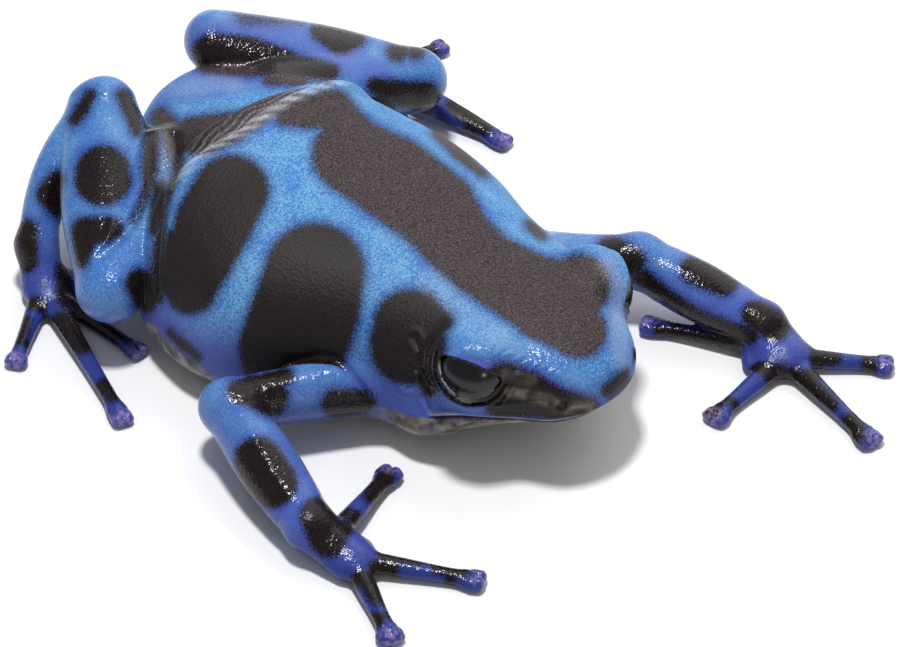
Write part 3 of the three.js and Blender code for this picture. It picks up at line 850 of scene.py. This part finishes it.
def crest_shape(p):
    """How much of the crest is at a point, how far behind its line, and its folds."""
    x = p[:, 0]
    behind = (p[:, 1] - np.interp(x, crest_line[:, 0], crest_line[:, 1])) * CREST_SLANT
    start, stop = crest_line[0, 0], crest_line[-1, 0]
    here = ramp(p[:, 2], *CREST_LEVELS) * ramp(x - start, *CREST_START) * ramp(stop - x, *CREST_STOP)
    wave = behind + sum(size * np.sin(x * turn + phase) for size, turn, phase in FOLD_WAVES)
    folds = np.cos(2 * np.pi * wave / CREST["spacing"])
    return here, behind, folds * ramp(behind, *FOLDS_FRONT) * ramp(-behind, *FOLDS_REAR)


def crest_relief(p):
    """Height to add along the crest over the hips, where the trunk's own skin is."""
    here, behind, folds = crest_shape(p)
    rise = np.where(behind < 0, bell(behind, CREST["front"]), bell(behind, CREST["rear"]))
    hollow = bell(behind - HOLLOW_PLACE, HOLLOW_WIDTH)
    height = CREST["rise"] * rise - CREST["hollow"] * hollow + CREST["wrinkle"] * folds
    return here * height * ramp(-trunk_distance(p), *CREST_DEPTH)


# Pads on the discs of the digits, in mm, with profiles for the groove and the neck
SCUTE = {"aside": 0.4, "width": 0.24, "rise": 0.12, "length": 0.4, "top": 1.6}
SCUTE_GROOVE = [(0.1, 0, 0.12)]
SCUTE_NECK = [(0.06, -0.75, 0.14)]
SCUTE_LEVELS = (0.3, 0.6)


def scute_relief(tube, p):
    """Two small pads side by side on the top of a finger's or toe's disc."""
    q = p - tube.finish
    along, aside = q @ tube.along, q @ tube.across
    pads = SCUTE["rise"] * bell(np.abs(aside) - SCUTE["aside"], SCUTE["width"])
    pads = (pads - bells(aside, SCUTE_GROOVE)) * bell(along, SCUTE["length"])
    return ramp(p[:, 2], *SCUTE_LEVELS) * (pads - bells(along, SCUTE_NECK))


def crease_relief(q, depth, width, line):
    """Depth of a crease, or of a beaded ridge, at some points."""
    away = chain_distance(q, line)
    if depth > 0:
        shoulder = SHOULDER if width < FINE_CREASE else 0
        return depth * (bell(away, width) - shoulder * bell(away - 2 * width, width))
    way = line[-1, :3] - line[0, :3]
    place = q @ (way / length_of(way)) + BEAD["sway"] * np.sin(q @ np.array(BEAD["turns"]))
    bead = 1 + BEAD["share"] * np.cos(2 * np.pi * place / BEAD["spacing"])
    return depth * bead * bell(away, width)


def change_near(field, p, low, high, margin, change):
    """Adds a change to a field inside a box."""
    near = inside_box(p, low, high, margin)
    if near.any():
        field[near] += change(p[near])


def skin_distance(p):
    """Distance from the skin with its crest, swellings, pads and creases."""
    field = base_distance(p)
    change_near(field, p, *CREST_BOX, 0, lambda q: -crest_relief(q))
    for place, radius, height in relief:
        reach = RELIEF_REACH * radius
        change_near(field, p, place, place, reach, lambda q: -height * bell(length_of(q - place), radius))
    if p[:, 2].min() < SCUTE["top"]:
        for tube in [tube for limb in limbs for tube in limb["digits"]]:
            place = tube.finish
            change_near(field, p, place, place, SCUTE["top"], lambda q: -scute_relief(tube, q))
    for depth, width, line in creases:
        low, high = line[:, :3].min(0), line[:, :3].max(0)
        change_near(field, p, low, high, CREASE_MARGIN, lambda q: crease_relief(q, depth, width, line))
    return field


field, low = fill_grid()
vertices, quads = surface_net(field, low)
del field
vertices, _ = settle(vertices, rounds=1, most=GRID)
faces = np.concatenate([quads[:, [0, 1, 2]], quads[:, [0, 2, 3]]])
vertices, faces = split_faces(vertices, faces, vertices[:, 1] < HEAD_END)
vertices, slopes = settle(vertices)
vertices[:, 2] = np.maximum(vertices[:, 2], 0)
normals = slopes / np.maximum(length_of(slopes), TINY)[:, None]

# Areas placed on the photograph, beside the dark ones, some of them painted sheen, shade
# and rim light: how strong each is, and its chain of columns, rows and radii in pixels
WET_CHAINS = {
    "brow": (1, [(455, 348, 12), (520, 358, 14), (580, 384, 14)]),
    "cheek": (1, [(430, 350, 10), (436, 385, 12)]),
}
# Painted sheen: whitish highlights and reflections along the far edges, the head, the nape, the rump and
# the thigh's top
PAINTED_SHEEN_CHAINS = {
    "far_side": (0.5, [(430, 116, 3), (445, 126, 5), (470, 147, 5), (495, 172, 4), (516, 198, 3)]),
    "rump": (0.22, [(172, 88, 3), (200, 84, 7), (235, 84, 4)]),
    "far_head_rim_light": (0.3, [(606, 262, 4), (618, 285, 5), (620, 310, 5), (620, 335, 6), (622, 360, 4)]),
    "nape": (0.15, [(430, 280, 8), (470, 318, 8), (500, 336, 6)]),
    "thigh_top": (0.3, [(161, 135, 3), (165, 155, 4), (165, 178, 4)]),
}
PALE_CHAINS = {
    "lores": (0.4, [(510, 392, 4), (530, 396, 5), (550, 401, 4), (566, 409, 3), (590, 407, 5)]),
    "lores_top": (0.2, [(508, 376, 6), (530, 380, 5)]),
    "nostril": (0.6, [(559, 406, 1), (566, 411, 1), (574, 407, 1)]),
    "belly_edge": (0.9, [(150, 326, 4), (158, 340, 7), (172, 356, 8), (192, 370, 8), (210, 380, 6)]),
}
VIOLET_CHAINS = {
    "brow": (0.3, [(455, 348, 8), (520, 362, 12), (590, 392, 12)]),
    # far_head_rim_light: painted rim light on the far side of the head, violet here and whitish among the
    # sheen areas
    "far_head_rim_light": (0.25, [(606, 262, 8), (620, 310, 10), (618, 350, 12)]),
    # brow_edge_shade: painted shade, a deeper violet-blue along the lower edge of the brow's stripe
    "brow_edge_shade": (0.85, [(462, 360, 4), (500, 368, 6), (535, 382, 6), (570, 397, 6), (600, 404, 5)]),
    "rump": (0.45, [(160, 96, 8), (190, 86, 12), (235, 84, 10), (290, 78, 6)]),
    "left_shank": (0.65, [(200, 34, 16), (260, 34, 14), (330, 52, 14), (375, 74, 14)]),
}
# Where areas begin and end, in mm, and how strong they are. Levels and places along Y
# are given as negatives, except for the rims of the eyes
TRUNK_EDGE = (-0.75, -0.35)
HEAD_EDGE = (9.0, 12.0)
THROAT_EDGE = (-0.1, 0.25)
THROAT_SPREAD = 1.4
BELLY_EDGE = (-2.6, -1.4)
LIP_RIM = {"above": 0.22, "width": 0.13, "end": (13.4, 14.2), "painted_sheen": 0.7}
MOUTH_SHADE = {"width": 0.1, "end": (13.3, 14.0), "least": 0.3, "dark": -0.3}
DIGIT_BANDS = ((0.3, 0.08), (0.78, 0.05))
BAND_REACH = {"margin": 0.3, "skin": 0.15, "falls": 3}
LIMB_WET = {"margin": 0.5, "edge": (-0.5, -0.05)}
TIP_EDGE = (-1.0, -0.4)
CHAIN_INSIDE = 0.1
CHAIN_OUTSIDE = {"wet": 0.5, "painted_sheen": 0.6, "pale": 0.3, "violet": 0.6}
VIOLET_TRUNK = {"levels": (-8.0, -3.5), "share": 0.9}
VIOLET_LIMB = {"levels": (-6.5, -1.5), "least": 0.22, "more": 0.7}
LOW_DOWN = (-2.8, -0.9)
TOP_SHEEN = {"slope": (0.5, 0.9), "across": (-5.0, -1.5)}
CREST_WIDTHS = ([-4, 1, 7], [0.6, 0.35, 0.2])
CREST_SHEEN = {"even": 0.6, "broken": 0.4}
BREAKS = (5.0, 6.0)
FOLD_SHEEN = {"share": 0.4, "fold": (0.2, 0.9), "behind": (-3.0, -0.3)}
RIM_BEHIND = {"below": (0.2, 0.9), "back": (-2.0, -1.3)}
RIM_SHEEN = [(1, 0.04, 0.09)]
RIM_PALE = [(0.9, 0.1, 0.1)]
RIM_REACH = LID_RADIUS + 1.5
RIM_DARK = 0.55
NOSTRIL_SHADE = 0.36

# Markings and painted shade as distances and shares at each vertex
viewed = view_space(vertices)
on_trunk = ramp(-trunk_distance(vertices), *TRUNK_EDGE)
limb_share = 1 - on_trunk


def add_chains(values, chains, outside):
    """Raises a share along some chains of spots."""
    for share, chain in chains.values():
        away = chain_distance(viewed, spots_on_skin(chain))
        values = np.maximum(values, share * ramp(-away, -outside, CHAIN_INSIDE))
    return values


dark = np.full(len(vertices), FAR)
for name, chain in DARK_CHAINS.items():
    away = chain_distance(viewed, spots_on_skin(chain, SPOT_GROWTH))
    if not name.startswith(("left", "right")):
        away += LIMB_GAP * limb_share
    dark = np.minimum(dark, away)
for chain in HIDDEN_CHAINS.values():
    dark = np.minimum(dark, chain_distance(vertices, chain))
for limb in limbs:
    for tube in limb["digits"]:
        near = inside_box(vertices, tube.low, tube.high, BAND_REACH["margin"])
        q = vertices[near]
        share = (q - tube.start) @ tube.along / tube.length
        off = np.maximum(tube.distance(q) - BAND_REACH["skin"], 0) * BAND_REACH["falls"]
        band = np.min([np.abs(share - middle) - half for middle, half in DIGIT_BANDS], axis=0)
        dark[near] = np.minimum(dark[near], band * tube.length + off)

lips = lip_level(vertices)
forward = -vertices[:, 1]
down = -vertices[:, 2]
on_head = ramp(forward, *HEAD_EDGE)
throat = on_head * np.minimum(THROAT_SPREAD * on_trunk, 1) * ramp(-lips, *THROAT_EDGE)
belly = on_trunk * ramp(down, *BELLY_EDGE)
lip_rim = bell(lips - LIP_RIM["above"], LIP_RIM["width"]) * ramp(forward, *LIP_RIM["end"])
lip_rim *= on_head * on_trunk
pale = np.clip(np.maximum(np.maximum(throat, belly), lip_rim), 0, 1)
# Painted shade in the mouth's groove: a dark line along the lips that also clears their pale colour
mouth_shade = bell(lips, MOUTH_SHADE["width"]) * ramp(forward, *MOUTH_SHADE["end"]) * on_head * on_trunk
pale *= 1 - mouth_shade
dark = np.where(mouth_shade > MOUTH_SHADE["least"], np.minimum(dark, MOUTH_SHADE["dark"]), dark)

wet = np.zeros(len(vertices))
tips = np.zeros(len(vertices))
for limb in limbs:
    for tube in limb["lengths"] + limb["digits"]:
        near = inside_box(vertices, tube.low, tube.high, LIMB_WET["margin"])
        wet[near] = np.maximum(wet[near], ramp(-tube.distance(vertices[near]), *LIMB_WET["edge"]))
    for tube in limb["digits"]:
        tips = np.maximum(tips, ramp(-length_of(vertices - tube.finish), *TIP_EDGE))
wet = add_chains(wet, WET_CHAINS, CHAIN_OUTSIDE["wet"])

violet = on_trunk * ramp(down, *VIOLET_TRUNK["levels"]) * VIOLET_TRUNK["share"]
violet += limb_share * (VIOLET_LIMB["least"] + VIOLET_LIMB["more"] * ramp(down, *VIOLET_LIMB["levels"]))
low_down = limb_share * ramp(down, *LOW_DOWN)
# Up-facing trunk skin, where the brown flecks gather: real flecks, with painted sheen where the top
# catches the light
top = on_trunk * ramp(normals[:, 2], *TOP_SHEEN["slope"]) * ramp(vertices[:, 0], *TOP_SHEEN["across"])

# A painted whitish sheen along the crest and on its folds, and on the lips' and the eyes' rims over their
# pale colour
here, behind, folds = crest_shape(vertices)
here *= on_trunk * inside_box(vertices, *CREST_BOX, 0)
broken = np.cos(vertices[:, 0] * BREAKS[0] + behind * BREAKS[1])
painted_sheen = bell(behind, np.interp(vertices[:, 0], *CREST_WIDTHS))
painted_sheen *= CREST_SHEEN["even"] + CREST_SHEEN["broken"] * broken
fold_sheen = FOLD_SHEEN["share"] * ramp(folds, *FOLD_SHEEN["fold"])
painted_sheen = here * (painted_sheen + fold_sheen * ramp(-behind, *FOLD_SHEEN["behind"]))
painted_sheen = np.maximum(painted_sheen, LIP_RIM["painted_sheen"] * lip_rim)
painted_sheen = add_chains(painted_sheen, PAINTED_SHEEN_CHAINS, CHAIN_OUTSIDE["painted_sheen"])
pale = add_chains(pale, PALE_CHAINS, CHAIN_OUTSIDE["pale"])
violet = add_chains(violet, VIOLET_CHAINS, CHAIN_OUTSIDE["violet"])
for side in SIDES.values():
    from_eye, ahead, ring, below_upper, below = eye_frame(vertices, side)
    close = below * (length_of(from_eye) < RIM_REACH)
    rear = close * ramp(below_upper, *RIM_BEHIND["below"]) * ramp(from_eye[:, 1], *RIM_BEHIND["back"])
    painted_sheen = np.maximum(painted_sheen, rear * bells(ring, RIM_SHEEN))
    pale = np.maximum(pale, rear * bells(ring, RIM_PALE))
    dark = np.where((close > 0) & (below_upper > 0), np.minimum(dark, ring - RIM_DARK), dark)
    # Painted shade in each nostril's pit
    dark = np.minimum(dark, length_of(vertices - NOSTRILS[side]) - NOSTRIL_SHADE)
painted_sheen = np.clip(painted_sheen, 0, 1)


def add_mesh(name, points, triangles):
    mesh = bpy.data.meshes.new(name)
    mesh.vertices.add(len(points))
    mesh.vertices.foreach_set("co", (points * MM).astype(np.float32).ravel())
    mesh.loops.add(triangles.size)
    mesh.loops.foreach_set("vertex_index", triangles.astype(np.int32).ravel())
    mesh.polygons.add(len(triangles))
    mesh.polygons.foreach_set("loop_start", np.arange(0, triangles.size, 3, dtype=np.int32))
    mesh.polygons.foreach_set("loop_total", np.full(len(triangles), 3, np.int32))
    mesh.update(calc_edges=True)
    mesh.validate()
    mesh.shade_smooth()
    thing = bpy.data.objects.new(name, mesh)
    bpy.context.scene.collection.objects.link(thing)
    return thing


def add_attribute(thing, name, values):
    layer = thing.data.attributes.new(name, "FLOAT", "POINT")
    layer.data.foreach_set("value", values.astype(np.float32))


skin = add_mesh("skin", vertices, faces)
shares = {
    "dark": dark,
    "pale": pale,
    "wet": wet,
    "tips": tips,
    "violet": violet,
    "low_down": low_down,
    "top": top,
    "painted_sheen": painted_sheen,
}
for name, values in shares.items():
    add_attribute(skin, name, values)


class Shader:
    """A short way to build a node tree."""

    def __init__(self, name):
        self.material = bpy.data.materials.new(name)
        self.material.use_nodes = True
        self.tree = self.material.node_tree
        self.principled = self.tree.nodes["Principled BSDF"]

    def node(self, kind, **settings):
        made = self.tree.nodes.new(kind)
        for key, value in settings.items():
            setattr(made, key, value)
        return made

    def link(self, output, socket):
        if isinstance(output, (int, float)):
            socket.default_value = output
        else:
            self.tree.links.new(output, socket)

    def math(self, operation, a, b=0.0, c=0.0):
        made = self.node("ShaderNodeMath", operation=operation)
        for socket, value in zip(made.inputs, (a, b, c)):
            self.link(value, socket)
        return made.outputs[0]

    def ramp(self, value, low, high):
        made = self.node("ShaderNodeMapRange", interpolation_type="SMOOTHSTEP")
        self.link(value, made.inputs["Value"])
        made.inputs["From Min"].default_value = low
        made.inputs["From Max"].default_value = high
        return made.outputs["Result"]

    def mix(self, share, a, b):
        made = self.node("ShaderNodeMix", data_type="RGBA")
        self.link(share, made.inputs[0])
        for socket, value in ((made.inputs[6], a), (made.inputs[7], b)):
            if isinstance(value, tuple):
                socket.default_value = (*value, 1.0)
            else:
                self.tree.links.new(value, socket)
        return made.outputs[2]

    def attribute(self, name):
        return self.node("ShaderNodeAttribute", attribute_name=name).outputs["Fac"]

    def noise(self, size, detail, roughness):
        made = self.node("ShaderNodeTexNoise")
        place = self.node("ShaderNodeTexCoord").outputs["Object"]
        self.tree.links.new(place, made.inputs["Vector"])
        made.inputs["Scale"].default_value = 1 / (size * MM)
        made.inputs["Detail"].default_value = detail
        made.inputs["Roughness"].default_value = roughness
        return made.outputs["Fac"]

    def times(self, value, share):
        return self.math("MULTIPLY", value, share)

    def finish(self, **constants):
        for name, value in constants.items():
            self.principled.inputs[name.replace("_", " ")].default_value = value
        return self.material


def linear(*levels):
    """A colour given as levels from 0 to 255, as the shader's linear values."""
    shares = [level / 255 for level in levels]
    return tuple(c / 12.92 if c <= 0.04 else ((c + 0.055) / 1.055) ** 2.4 for c in shares)


SKY = linear(44, 108, 182)
SKY_LIGHT = linear(106, 162, 198)
VIOLET_BLUE = linear(73, 83, 168)
DEEP_BLUE = linear(26, 42, 116)
BROWN_BLACK = linear(17, 8, 7)
BROWN_FLECK = linear(84, 69, 73)
BELLY_GREY = linear(66, 60, 53)
LIP_PALE = linear(156, 148, 134)
TIP_PINK = linear(158, 134, 188)
SHEEN_WHITE = linear(196, 198, 206)
EYE_BLACK = linear(9, 10, 13)


# Noises of the skin: size in mm, detail and roughness
FINE = (0.1, 2.0, 0.6)
GRAIN = (0.13, 2.0, 0.6)
PATCH = (2.4, 3.0, 0.5)
BELLY_PATCH = (0.8, 3.0, 0.5)
TIP_PATCH = (0.3, 2.0, 0.5)
BUMP_GRAIN = (0.2, 1.5, 0.6)
BUMP_DEPTH = 0.048
# How the noises and the shares work on the colour: ranges, then strengths
NOISE_MIDDLE = 0.5
RAGGED = 1.1
BLACK_EDGE = (0.24, -0.24)
LIGHTER = {"range": (0.1, 0.9), "dry": 3.0, "wet": 1.4}
DEEP_RIM = {"range": (0.75, 0.0), "share": 0.55}
LOW_SHARE = 0.75
FLECKS_AND_TOP_SHEEN = {"range": (0.42, 0.62), "top": 0.8, "least": 0.12}
BELLY_MOTTLE = (0.3, 0.75)
TIP = {"range": (0.35, 0.6), "share": 0.55}
SHEEN_MIX = {"range": (0.2, 0.6), "share": 0.75}
ROUGHNESS = {"dry": 0.58, "wet": 0.15}


def skin_material():
    s = Shader("frog_skin")
    wet = s.attribute("wet")
    fine = s.noise(*FINE)
    edge = s.math("ADD", s.attribute("dark"), s.times(s.math("SUBTRACT", fine, NOISE_MIDDLE), RAGGED))
    contrast = s.math("MULTIPLY_ADD", wet, LIGHTER["wet"] - LIGHTER["dry"], LIGHTER["dry"])
    grain = s.math("SUBTRACT", s.noise(*GRAIN), NOISE_MIDDLE)
    lighter = s.math("MULTIPLY_ADD", grain, contrast, s.noise(*PATCH))
    blue = s.mix(s.ramp(lighter, *LIGHTER["range"]), SKY, SKY_LIGHT)
    blue = s.mix(s.times(s.ramp(edge, *DEEP_RIM["range"]), DEEP_RIM["share"]), blue, DEEP_BLUE)
    blue = s.mix(s.attribute("violet"), blue, VIOLET_BLUE)
    blue = s.mix(s.times(s.attribute("low_down"), LOW_SHARE), blue, DEEP_BLUE)
    # Brown flecks in the black, denser on top: the extra there is painted sheen
    flecks_and_sheen = s.math("MULTIPLY_ADD", s.attribute("top"), FLECKS_AND_TOP_SHEEN["top"], FLECKS_AND_TOP_SHEEN["least"])
    brown = s.mix(s.times(s.ramp(fine, *FLECKS_AND_TOP_SHEEN["range"]), flecks_and_sheen), BROWN_BLACK, BROWN_FLECK)
    # Black of the markings, which also carries the painted shade in gaps, hollows, the mouth and the
    # nostrils
    colour = s.mix(s.ramp(edge, *BLACK_EDGE), blue, brown)
    belly = s.mix(s.ramp(s.noise(*BELLY_PATCH), *BELLY_MOTTLE), BELLY_GREY, LIP_PALE)
    colour = s.mix(s.attribute("pale"), colour, belly)
    tip = s.times(s.attribute("tips"), s.ramp(s.noise(*TIP_PATCH), *TIP["range"]))
    colour = s.mix(s.times(tip, TIP["share"]), colour, TIP_PINK)
    # Painted sheen: whitish where the sheen share is high
    sheen_share = s.times(s.attribute("painted_sheen"), s.ramp(fine, *SHEEN_MIX["range"]))
    colour = s.mix(s.times(sheen_share, SHEEN_MIX["share"]), colour, SHEEN_WHITE)
    s.link(colour, s.principled.inputs["Base Color"])
    rough = s.math("MULTIPLY_ADD", wet, ROUGHNESS["wet"] - ROUGHNESS["dry"], ROUGHNESS["dry"])
    s.link(rough, s.principled.inputs["Roughness"])
    bump = s.node("ShaderNodeBump")
    bump.inputs["Strength"].default_value = 1.0
    bump.inputs["Distance"].default_value = BUMP_DEPTH * MM
    s.link(s.noise(*BUMP_GRAIN), bump.inputs["Height"])
    s.link(bump.outputs["Normal"], s.principled.inputs["Normal"])
    return s.finish(Specular_IOR_Level=0.3, Sheen_Weight=0.08, Sheen_Roughness=0.35)


skin.data.materials.append(skin_material())
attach(skin, "root")
flesh = [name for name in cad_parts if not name.startswith("eye")]
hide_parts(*flesh)

EYE_SEGMENTS = 96


def sphere_mesh(middle, radius, segments):
    """Points and triangles of a ball, with its poles up and down."""
    around = np.linspace(0, 2 * np.pi, segments, endpoint=False)
    down = np.linspace(0, np.pi, segments // 2 + 1)[1:-1]
    flat = np.ones_like(around)
    sine = np.sin(down)
    rings = [np.outer(sine, np.cos(around)), np.outer(sine, np.sin(around)), np.outer(np.cos(down), flat)]
    unit = np.concatenate([[[0, 0, 1]], np.stack(rings, -1).reshape(-1, 3), [[0, 0, -1]]])
    index = 1 + np.arange(len(down) * segments).reshape(len(down), segments)
    beside = np.roll(index, -1, axis=1)
    last = len(unit) - 1
    triangles = np.concatenate([
        np.stack([np.zeros(segments, int), index[0], beside[0]], 1),
        np.stack([index[:-1], index[1:], beside[1:]], -1).reshape(-1, 3),
        np.stack([index[:-1], beside[1:], beside[:-1]], -1).reshape(-1, 3),
        np.stack([index[-1], np.full(segments, last), beside[-1]], 1),
    ])
    return unit * radius + middle, triangles


eye_shader = Shader("frog_eye")
eye_material = eye_shader.finish(Base_Color=(*EYE_BLACK, 1), Roughness=0.2, Specular_IOR_Level=0.5)
for name, side in SIDES.items():
    ball = add_mesh(f"eyeball_{name}", *sphere_mesh(mirrored(EYE, side), EYE_RADIUS, EYE_SEGMENTS))
    ball.data.materials.append(eye_material)
    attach(ball, "root")
    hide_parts(f"eye_{name}")

# Floor, lights and camera
FLOOR_SIZE = 2.0
FLOOR_GREY = (0.9, 0.9, 0.9, 1)
bpy.ops.mesh.primitive_plane_add(size=FLOOR_SIZE)
floor = bpy.context.object
floor.name = "floor"
floor.data.materials.append(Shader("floor").finish(Base_Color=FLOOR_GREY, Roughness=0.6))


def add_light(name, place, size, power):
    """A square light that faces the middle of the model."""
    light = bpy.data.lights.new(name, "AREA")
    light.size = size * MM
    light.energy = power
    thing = bpy.data.objects.new(name, light)
    thing.location = Vector(place) * MM
    thing.rotation_euler = Vector(place).to_track_quat("Z", "Y").to_euler()
    bpy.context.scene.collection.objects.link(thing)


# Lights: place and size in mm, and power. The last one shows as one point in the eye,
# where its reflection sits at a pixel of the photograph
KEY_LIGHT = {"place": (-10, 10, 280), "size": 36, "power": 0.64}
BACK_LIGHT = {"place": (240, 60, 200), "size": 360, "power": 0.48}
GLINT_LIGHT = {"size": 9, "power": 0.012}
GLINT_PIXEL = (484, 375)
GLINT_DISTANCE = 160
STUDIO_COLOUR = (0.95, 0.97, 1.0, 1)
STUDIO_STRENGTH = 0.3


def glint_place():
    """The place that the camera sees in the right eye at the glint's pixel."""
    middle = mirrored(EYE, SIDES["right"])
    across = GLINT_PIXEL[0] - PHOTO_WIDTH / 2
    up = PHOTO_HEIGHT / 2 - GLINT_PIXEL[1]
    ray = across * RIGHT + up * VIEW_UP - FOCAL_PIXELS * BACK
    ray /= length_of(ray)
    to_camera = EYE_POINT - middle
    back_off = to_camera @ ray
    inside = back_off**2 - length_of(to_camera) ** 2 + EYE_RADIUS**2
    touch = EYE_POINT + ray * (-back_off - math.sqrt(inside))
    outward = (touch - middle) / length_of(touch - middle)
    return touch + (ray - 2 * (ray @ outward) * outward) * GLINT_DISTANCE


add_light("key", **KEY_LIGHT)
add_light("back", **BACK_LIGHT)
add_light("glint", place=tuple(glint_place()), **GLINT_LIGHT)
world = bpy.data.worlds.new("studio")
world.use_nodes = True
background = world.node_tree.nodes["Background"]
background.inputs["Color"].default_value = STUDIO_COLOUR
background.inputs["Strength"].default_value = STUDIO_STRENGTH
bpy.context.scene.world = world

camera = bpy.data.objects.new("camera", bpy.data.cameras.new("camera"))
camera.data.sensor_width = SENSOR_WIDTH
camera.data.lens = FOCAL_PIXELS * SENSOR_WIDTH / PHOTO_WIDTH
turn = Matrix((RIGHT, VIEW_UP, BACK)).transposed().to_4x4()
camera.matrix_world = Matrix.Translation(Vector(EYE_POINT * MM)) @ turn
bpy.context.scene.collection.objects.link(camera)
bpy.context.scene.camera = camera
bpy.context.scene.view_settings.view_transform = "Standard"
